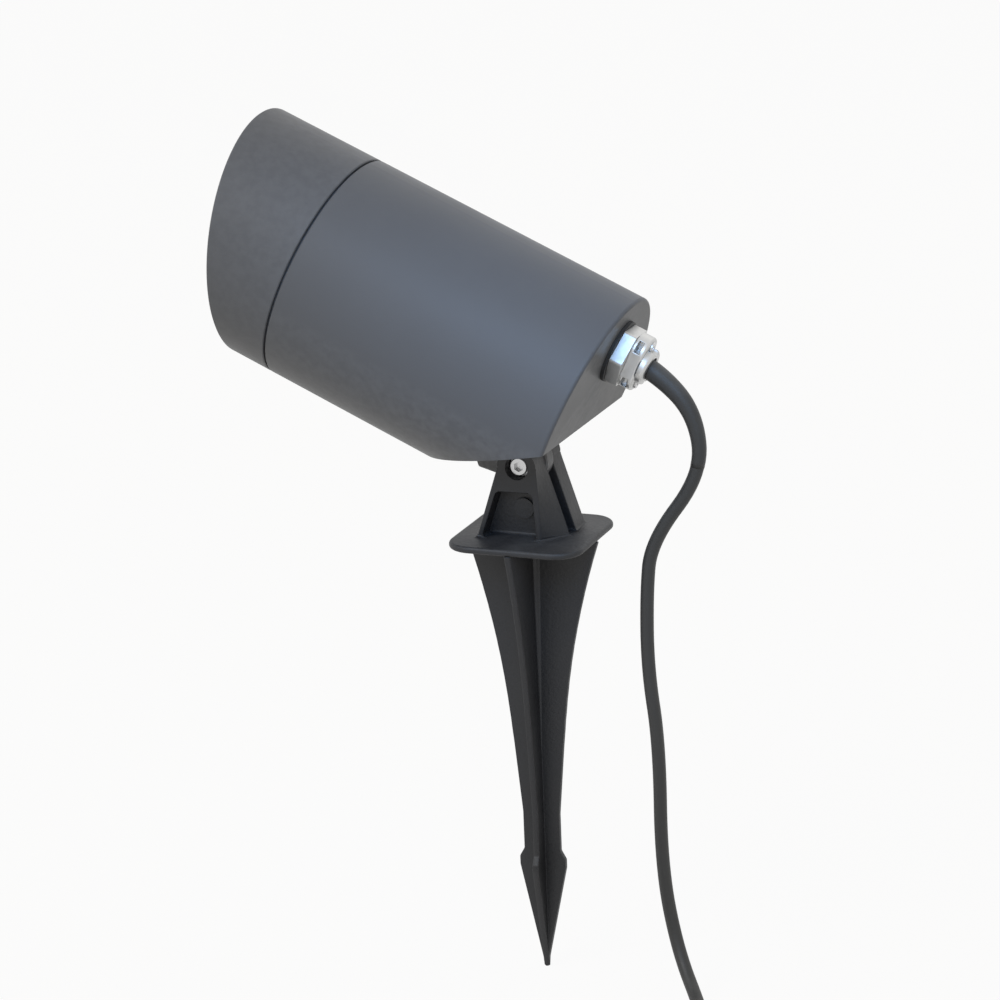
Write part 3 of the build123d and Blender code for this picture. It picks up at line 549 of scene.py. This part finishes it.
class SPOTLIGHT_OT_cord(bpy.types.Operator):
    """Make the lead with its put-away coil and the bend protector at the gland"""

    bl_idname = "spotlight.cord"
    bl_label = "Make Cord"

    def execute(self, context):
        sizes, colours = context.scene.spotlight_sizes, context.scene.spotlight_colours
        route = route_points()
        turns = coil_points(route[-1], (route[-1] - route[-2]).normalized())
        curve = route_curve("lead_route", route + turns)
        line = line_points(curve)
        bpy.data.objects.remove(curve)
        radius = sizes.cord_diameter / 2
        lead = tube("lead", line, lambda run: radius, LEAD_SIDES)
        rubber = grained(
            "lead_rubber", colours.rubber, roughness=(0.42, 0.6), grain=1500.0, bump=0.00006,
            dust=0.25, spread=0.1, edge_wear_and_highlight=0.0,
        )
        lead.data.materials.append(rubber)
        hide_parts("cord_lead", "cord_coil")
        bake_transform(lead)
        self.make_boot(sizes, line, rubber)
        return {"FINISHED"}

    def make_boot(self, sizes, line, rubber):
        """Tapered bend protector from inside the clamp cap."""
        length = sizes.boot_length
        thick, thin = sizes.boot_diameter / 2, sizes.boot_tip_diameter / 2

        def radius_at(run):
            share = min(1.0, run / length)
            return thick + (thin - thick) * share * share * (3 - 2 * share)

        stretch = points_between(line, BOOT_START, BOOT_START + length)
        boot = tube("bend_protector", stretch, radius_at, BOOT_SIDES)
        boot.data.materials.append(rubber)
        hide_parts("cord_boot")
        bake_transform(boot)


class SPOTLIGHT_OT_head(bpy.types.Operator):
    """Coat the housing, hood and lug"""

    bl_idname = "spotlight.head"
    bl_label = "Coat Head"

    def execute(self, context):
        colour = context.scene.spotlight_colours.coat
        coat = grained(
            "anthracite_coat", colour, roughness=(0.40, 0.50), grain=1400.0, bump=0.00003,
            dust=0.04, spread=0.015, edge_wear_and_highlight=0.3, Specular_IOR_Level=0.2,
        )
        finish(["housing", "front_hood"], coat)
        lug_coat = grained(
            "lug_coat", colour, roughness=(0.45, 0.6), grain=1300.0, bump=0.00008,
            dust=0.2, spread=0.08, edge_wear_and_highlight=0.35,
        )
        finish(["tilt_lug"], lug_coat)
        return {"FINISHED"}


class SPOTLIGHT_OT_spike(bpy.types.Operator):
    """Give the spike moulding its matt black plastic"""

    bl_idname = "spotlight.spike"
    bl_label = "Finish Spike"

    def execute(self, context):
        black = grained(
            "black_moulding", context.scene.spotlight_colours.moulding,
            roughness=(0.42, 0.62), grain=700.0, bump=0.00010, dust=0.12, spread=0.15,
        )
        softened(
            "spike_moulding", "spike_bracket", "spike", black, MOULDED_ROUND,
            shape=self.flare_feet, chosen=self.is_moulded_edge,
        )
        return {"FINISHED"}

    def flare_feet(self, work):
        """Radius where the ears stand on the flange."""
        feet = [
            edge for edge in work.edges
            if is_sharp(edge) and edge.calc_face_angle_signed(0.0) < 0
            and all(abs(vertex.co.z - FLANGE_TOP) < FLANGE_TOP_GAP for vertex in edge.verts)
        ]
        round_edges(work, feet, FOOT_ROUND, 3)

    def is_moulded_edge(self, edge):
        """Edges of flange and blades, and the ears' long ones, without feet, screw and boss."""
        if not is_sharp(edge):
            return False
        highest = max(vertex.co.z for vertex in edge.verts)
        is_ear_edge = edge.calc_length() > SHORTEST_EAR_EDGE and highest > ABOVE_FEET
        return highest < BELOW_FEET or is_ear_edge


class SPOTLIGHT_OT_metalwork(bpy.types.Operator):
    """Finish the gland, the screws and the washers"""

    bl_idname = "spotlight.metalwork"
    bl_label = "Finish Metalwork"

    def execute(self, context):
        colours = context.scene.spotlight_colours
        nickel = metal("bright_nickel", colours.nickel, (0.32, 0.48), scale=380.0, bump=0.00004)
        finish(["gland_locknut"], nickel)
        softened("gland_hexagon", "gland_body", "head", nickel, GLAND_ROUND)
        softened("clamp_cap", "gland_cap", "head", nickel, CAP_ROUND, self.draw_in)
        steel = metal("stainless", colours.steel, (0.2, 0.38), scale=900.0, bump=0.00002)
        clamps = matching("clamp_screw")
        screws = [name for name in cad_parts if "screw" in name and name not in clamps]
        finish(screws + ["pivot_nut", "pivot_washer"], steel)
        for name in clamps:
            short = name.replace("clamp", "cap")
            softened(short, name, "head", steel, SCREW_ROUND, self.shift_in)
        pins = metal("plated_pins", colours.nickel, (0.15, 0.28), scale=500.0, bump=0.00001)
        finish(matching("plug_pin"), pins)
        bare = metal("raw_aluminium", (0.7, 0.71, 0.73), (0.28, 0.5), scale=260.0, bump=0.00003)
        finish(["heat_spreader", "driver_bracket"], bare)
        return {"FINISHED"}

    def draw_in(self, work):
        """Clamp lugs as short as the photograph shows them."""
        axis = REAR_CENTRE + HEAD_UP * GLAND_UP
        for vertex in work.verts:
            vertex.co -= HEAD_UP * (vertex.co - axis).dot(HEAD_UP) * (1 - LUG_SHARE)

    def shift_in(self, work):
        """Clamp screws kept in the middle of the shorter lugs."""
        axis = REAR_CENTRE + HEAD_UP * GLAND_UP
        heights = [(vertex.co - axis).dot(HEAD_UP) for vertex in work.verts]
        shift = HEAD_UP * (sum(heights) / len(heights)) * (1 - LUG_SHARE)
        for vertex in work.verts:
            vertex.co -= shift


class SPOTLIGHT_OT_optics(bpy.types.Operator):
    """Finish the glass, the reflector and the lamp behind it"""

    bl_idname = "spotlight.optics"
    bl_label = "Finish Optics"

    def execute(self, context):
        self.finish_glass()
        bowl = metal(
            "vacuum_plated_bowl", (0.86, 0.87, 0.88), (0.08, 0.16), scale=160.0, bump=0.00012,
        )
        finish(["reflector"], bowl)
        self.finish_emitter()
        board = grained(
            "board_mask", (0.78, 0.78, 0.75), roughness=(0.4, 0.55), grain=900.0, bump=0.00002,
            dust=0.0, spread=0.04,
        )
        finish(["led_board"], board)
        holder = grained(
            "holder_plastic", (0.75, 0.75, 0.73), roughness=(0.4, 0.5), grain=700.0, bump=0.00003,
            dust=0.0, spread=0.05,
        )
        finish(["led_holder"], holder)
        return {"FINISHED"}

    def finish_glass(self):
        glass, tree, shader = new_material(
            "clear_glass", Base_Color=(0.95, 0.98, 0.97, 1.0), Metallic=0.0, IOR=1.5,
            Transmission_Weight=1.0,
        )
        place = add_node(tree, "TexCoord").outputs["Object"]
        smear = noise(tree, place, 45.0, 5.0, 0.6)
        tree.links.new(remap(tree, smear, 0.4, 0.75, 0.01, 0.09), shader.inputs["Roughness"])
        finish(["front_glass"], glass)

    def finish_emitter(self):
        """Yellow phosphor with the faint grid of the chips below it."""
        phosphor, tree, shader = new_material("phosphor", Roughness=0.45)
        place = add_node(tree, "TexCoord").outputs["Object"]
        chips = add_node(tree, "TexVoronoi", {"Scale": 420.0, "Randomness": 0.0})
        tree.links.new(place, chips.inputs["Vector"])
        dots = remap(tree, chips.outputs["Distance"], 0.25, 0.4)
        tone = mix_colour(tree, dots, (0.78, 0.5, 0.08), (0.88, 0.66, 0.16))
        tree.links.new(tone, shader.inputs["Base Color"])
        add_bump(tree, shader, dots, 0.00005)
        finish(["led_emitter"], phosphor)


class SPOTLIGHT_OT_electrics(bpy.types.Operator):
    """Finish the driver, the terminal block, the seals, the plug and the tie"""

    bl_idname = "spotlight.electrics"
    bl_label = "Finish Electrics"

    def execute(self, context):
        finish(["led_driver"], grained(
            "driver_case", (0.7, 0.7, 0.68), roughness=(0.4, 0.55), grain=800.0, bump=0.00004,
            dust=0.0, spread=0.05,
        ))
        finish(["terminal_block"], grained(
            "terminal_plastic", (0.6, 0.62, 0.6), roughness=(0.3, 0.4), grain=900.0,
            bump=0.00002, dust=0.0,
        ))
        finish(["hood_gasket", "glass_gasket", "gland_washer", "gland_seal"], grained(
            "seal_rubber", (0.016, 0.016, 0.016), roughness=(0.5, 0.7), grain=1200.0,
            bump=0.00005, dust=0.1,
        ))
        finish(["plug_body"], grained(
            "plug_rubber", (0.018, 0.018, 0.018), roughness=(0.4, 0.55), grain=800.0,
            bump=0.00008, dust=0.2,
        ))
        finish(["cord_tie"], grained(
            "tie_nylon", (0.014, 0.014, 0.014), roughness=(0.35, 0.5), grain=900.0,
            bump=0.00003, dust=0.1,
        ))
        return {"FINISHED"}


class SPOTLIGHT_OT_stage(bpy.types.Operator):
    """Set up the pale floor, the backdrop and the soft studio light"""

    bl_idname = "spotlight.stage"
    bl_label = "Set Stage"

    def execute(self, context):
        context.scene.view_settings.view_transform = "Standard"
        self.make_floor(context)
        self.make_world(context)
        self.add_light(
            "key", (-0.9, -1.5, 1.9), size=1.6, power=25.0, colour=(0.95, 0.97, 1.0),
        )
        self.add_light("back", (0.3, 1.8, 1.6), size=1.6, power=2.5, colour=(1.0, 0.98, 0.94))
        cool = self.add_light(
            "cool_side", (0.11, -0.26, 0.27), size=0.24, power=0.095, colour=(0.26, 0.54, 1.0),
            aim_at=(0.025, -0.03, 0.085),
        )
        cool.data.spread = radians(54)
        return {"FINISHED"}

    def direct_rays(self, tree):
        """One for camera, glossy and transmission rays, nought for the light on the object."""
        rays = add_node(tree, "LightPath").outputs
        mirrored = maths(tree, "MAXIMUM", rays["Is Glossy Ray"], rays["Is Transmission Ray"])
        return maths(tree, "MAXIMUM", rays["Is Camera Ray"], mirrored)

    def make_floor(self, context):
        low, far = CAD_BOX[0][2], FLOOR_HALF
        corners = [(-far, -far, low), (far, -far, low), (far, far, low), (-far, far, low)]
        mesh = bpy.data.meshes.new("floor")
        mesh.from_pydata(corners, [], [(0, 1, 2, 3)])
        floor = linked("floor", mesh)
        material, tree, shader = new_material("pale_floor", Roughness=0.8)
        colour = context.scene.spotlight_colours.backdrop
        shader.inputs["Base Color"].default_value = (*colour, 1.0)
        light = add_node(tree, "Emission", {"Color": (1, 1, 1, 1), "Strength": 1.0})
        blend = add_node(tree, "MixShader")
        glow = maths(tree, "MULTIPLY", self.direct_rays(tree), FLOOR_GLOW)
        tree.links.new(glow, blend.inputs["Fac"])
        tree.links.new(shader.outputs["BSDF"], blend.inputs[1])
        tree.links.new(light.outputs["Emission"], blend.inputs[2])
        tree.links.new(blend.outputs["Shader"], tree.nodes["Material Output"].inputs["Surface"])
        mesh.materials.append(material)

    def make_world(self, context):
        world = bpy.data.worlds.new("studio")
        context.scene.world = world
        world.use_nodes = True
        tree = world.node_tree
        background = tree.nodes["Background"]
        seen = self.direct_rays(tree)
        colour = mix_colour(tree, seen, FILL_COLOUR, (1.0, 1.0, 1.0))
        tree.links.new(colour, background.inputs["Color"])
        strength = remap(tree, seen, 0, 1, FILL_STRENGTH, 1.0)
        tree.links.new(strength, background.inputs["Strength"])

    def add_light(self, name, place, size, power, colour, aim_at=(0.0, 0.0, 0.05)):
        data = bpy.data.lights.new(name, "AREA")
        data.size = size
        data.energy = power
        data.color = colour
        lamp = linked(name, data)
        lamp.location = place
        lamp.visible_camera = False
        aim = Vector(aim_at) - Vector(place)
        lamp.rotation_euler = aim.to_track_quat("-Z", "Y").to_euler()
        return lamp


STEPS = (
    SPOTLIGHT_OT_camera, SPOTLIGHT_OT_cord, SPOTLIGHT_OT_head, SPOTLIGHT_OT_spike,
    SPOTLIGHT_OT_metalwork, SPOTLIGHT_OT_optics, SPOTLIGHT_OT_electrics, SPOTLIGHT_OT_stage,
)


class SPOTLIGHT_PT_panel(bpy.types.Panel):
    """Lists the sizes, the colours and the steps"""

    bl_label = "Garden Spike Spotlight"
    bl_idname = "SPOTLIGHT_PT_panel"
    bl_space_type = "VIEW_3D"
    bl_region_type = "UI"
    bl_category = "Spotlight"

    def draw(self, context):
        column = self.layout.column()
        for group in (context.scene.spotlight_sizes, context.scene.spotlight_colours):
            for name in group.__annotations__:
                column.prop(group, name)
        for step in STEPS:
            column.operator(step.bl_idname)


CLASSES = (SpotlightSizes, SpotlightColours, *STEPS, SPOTLIGHT_PT_panel)


def register():
    for item in CLASSES:
        bpy.utils.register_class(item)
    bpy.types.Scene.spotlight_sizes = PointerProperty(type=SpotlightSizes)
    bpy.types.Scene.spotlight_colours = PointerProperty(type=SpotlightColours)


def unregister():
    del bpy.types.Scene.spotlight_colours
    del bpy.types.Scene.spotlight_sizes
    for item in reversed(CLASSES):
        bpy.utils.unregister_class(item)


def main():
    register()
    for step in STEPS:
        group, name = step.bl_idname.split(".")
        getattr(getattr(bpy.ops, group), name)()
    bpy.context.view_layer.update()


if __name__ == "__main__":
    main()
